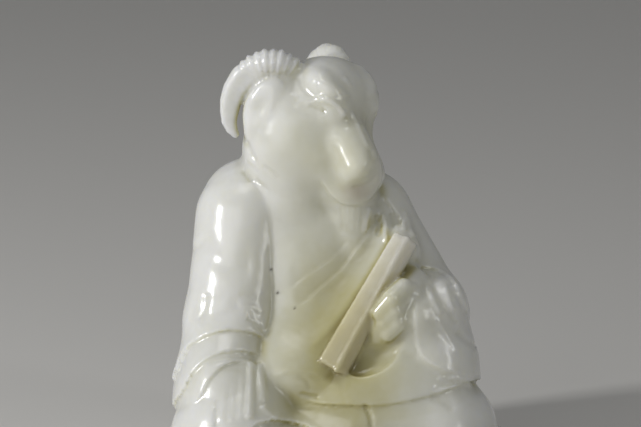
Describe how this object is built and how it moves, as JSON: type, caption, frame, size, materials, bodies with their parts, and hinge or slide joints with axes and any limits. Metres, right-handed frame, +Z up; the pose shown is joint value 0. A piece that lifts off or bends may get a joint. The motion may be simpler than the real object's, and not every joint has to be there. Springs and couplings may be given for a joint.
{
  "type": "chinese zodiac figure",
  "caption": "Seated robed figure with a ram's head, carved from one piece of pale jade, holding a tablet and resting one hand on its knee.",
  "frame": {"origin": "middle of the flat underside", "axes": "+Z up; the side that the picture shows, with the tablet, faces -Y; +X to the figure's left"},
  "size_m": [0.0419, 0.033, 0.0588],
  "materials": {
    "jade": "greenish white nephrite, carved and highly polished, slightly translucent"
  },
  "bodies": {
    "root": {"ram_figure": "jade"}
  },
  "joints": []
}
